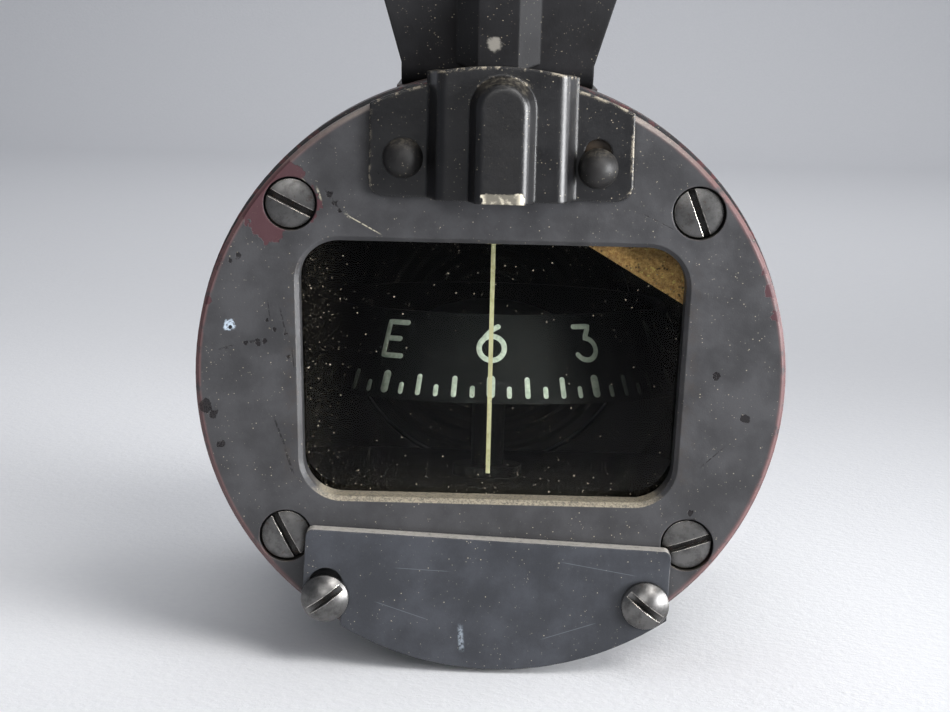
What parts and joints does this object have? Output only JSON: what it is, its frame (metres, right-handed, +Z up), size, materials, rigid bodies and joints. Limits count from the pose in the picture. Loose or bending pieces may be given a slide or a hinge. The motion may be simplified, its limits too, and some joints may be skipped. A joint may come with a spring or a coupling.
{
  "type": "windshield compass",
  "caption": "Liquid-filled windshield compass with a round front, a window onto a floating card, a lamp cover above, a swinging adjuster cover below and a sheet-metal arm.",
  "frame": {"origin": "centre of the arm foot's bolt circle, on the side that meets the windshield", "axes": "+X to the pilot's right, +Y forward, away from the pilot, +Z up; the compass face looks along -Y"},
  "size_m": [0.0804, 0.0934, 0.1484],
  "materials": {
    "case_paint": "worn satin black enamel",
    "face_paint": "worn satin charcoal enamel",
    "plate_paint": "worn satin charcoal enamel, scuffed at the edges",
    "lamp_cover_paint": "glossier black enamel, rubbed along its edges",
    "arm_paint": "dull black enamel",
    "dark_steel": "dark, worn bright round the slots",
    "plain_steel": "turned and oiled",
    "spring_steel": "drawn wire and punched sheet",
    "magnet_steel": "ground, dark",
    "turned_brass": "turned, slightly dull",
    "sheet_brass": "rolled, slightly dull",
    "lens_glass": "polished, dusty",
    "bulb_glass": "clear",
    "jewel": "polished",
    "cork": "stained and mouldy cork",
    "gasket_rubber": "perished",
    "fibre": "red vulcanised fibre",
    "line_paint": "aged cream paint",
    "card_paint": "matt black paint with pale marks",
    "float_paint": "dull black lacquer",
    "black_lacquer": "dull black lacquer, kept wet by the fluid"
  },
  "bodies": {
    "case": {"case": "case_paint", "face_plate": "face_paint", "face_gasket": "gasket_rubber", "face_screws": "dark_steel", "lens": "lens_glass", "lens_gasket": "cork", "lubber_line": "line_paint", "lubber_screw": "turned_brass", "pivot_spring": "spring_steel", "pivot_collar": "black_lacquer", "pivot_post": "black_lacquer", "diaphragm": "black_lacquer", "diaphragm_ring": "sheet_brass", "rear_cover": "case_paint", "rear_cover_screws": "dark_steel", "filler_plug": "dark_steel", "filler_washer": "fibre", "compensator_frame": "sheet_brass", "frame_screws": "dark_steel", "ns_axle": "plain_steel", "ew_axle": "plain_steel", "cover_pivot_screw": "dark_steel", "cover_lock_screw": "dark_steel", "lamp_cover": "lamp_cover_paint", "lamp_cover_studs": "dark_steel", "lamp_holder": "sheet_brass", "lamp_holder_screw": "plain_steel", "lamp_base": "turned_brass", "lamp_bulb": "bulb_glass", "mounting_arm": "arm_paint", "arm_screws": "dark_steel"},
    "pivot": {"pivot_pin": "plain_steel"},
    "tip": {"pivot_tip": "plain_steel"},
    "jewel": {"pivot_jewel": "jewel"},
    "card": {"compass_card": "card_paint", "card_float": "float_paint", "card_magnets": "magnet_steel", "magnet_rivets": "turned_brass", "jewel_cup": "turned_brass"},
    "ns_adjuster": {"ns_spindle": "turned_brass", "ns_pinion": "turned_brass", "ns_clip": "spring_steel"},
    "ns_upper": {"ns_upper_wheel": "turned_brass", "ns_upper_magnet": "magnet_steel"},
    "ns_lower": {"ns_lower_wheel": "turned_brass", "ns_lower_magnet": "magnet_steel"},
    "ew_adjuster": {"ew_spindle": "turned_brass", "ew_pinion": "turned_brass", "ew_clip": "spring_steel"},
    "ew_upper": {"ew_upper_wheel": "turned_brass", "ew_upper_magnet": "magnet_steel"},
    "ew_lower": {"ew_lower_wheel": "turned_brass", "ew_lower_magnet": "magnet_steel"},
    "cover_plate": {"compensator_cover": "plate_paint"}
  },
  "joints": [
    {"name": "pivot_bob", "type": "slide", "parent": "case", "child": "pivot", "axis": [0, 0, 1], "range_m": [-0.001, 0], "stiffness_N_per_m": 400, "springref_m": 0.001, "deforming": ["pivot_spring"]},
    {"name": "card_pitch", "type": "hinge", "parent": "pivot", "child": "tip", "pos_m": [0, 0.04378, -0.09031], "axis": [1, 0, 0], "range_deg": [-18, 18]},
    {"name": "card_roll", "type": "hinge", "parent": "tip", "child": "jewel", "pos_m": [0, 0.04378, -0.09031], "axis": [0, 1, 0], "range_deg": [-18, 18]},
    {"name": "card_spin", "type": "hinge", "parent": "jewel", "child": "card", "pos_m": [0, 0.04378, -0.09031], "axis": [0, 0, 1], "continuous": true},
    {"name": "ns_adjust", "type": "hinge", "parent": "case", "child": "ns_adjuster", "pos_m": [-0.007, 0.02313, -0.11791], "axis": [0, 1, 0], "continuous": true},
    {"name": "ns_upper_turn", "type": "hinge", "parent": "case", "child": "ns_upper", "pos_m": [-0.007, 0.02313, -0.11791], "axis": [0, 0, 1], "continuous": true},
    {"name": "ns_lower_turn", "type": "hinge", "parent": "case", "child": "ns_lower", "pos_m": [-0.007, 0.02313, -0.11791], "axis": [0, 0, 1], "continuous": true},
    {"name": "ew_adjust", "type": "hinge", "parent": "case", "child": "ew_adjuster", "pos_m": [0.007, 0.02313, -0.11791], "axis": [0, 1, 0], "continuous": true},
    {"name": "ew_upper_turn", "type": "hinge", "parent": "case", "child": "ew_upper", "pos_m": [0.007, 0.02313, -0.11791], "axis": [0, 0, 1], "continuous": true},
    {"name": "ew_lower_turn", "type": "hinge", "parent": "case", "child": "ew_lower", "pos_m": [0.007, 0.02313, -0.11791], "axis": [0, 0, 1], "continuous": true},
    {"name": "cover_swing", "type": "hinge", "parent": "case", "child": "cover_plate", "pos_m": [0.02165, 0.00188, -0.12071], "axis": [0, 1, 0], "range_deg": [-2.3, 85]}
  ],
  "couplings": [
    {"joint": "ns_upper_turn", "follows": "ns_adjust", "ratio": 0.5},
    {"joint": "ns_lower_turn", "follows": "ns_adjust", "ratio": -0.5},
    {"joint": "ew_upper_turn", "follows": "ew_adjust", "ratio": 0.5},
    {"joint": "ew_lower_turn", "follows": "ew_adjust", "ratio": -0.5}
  ]
}
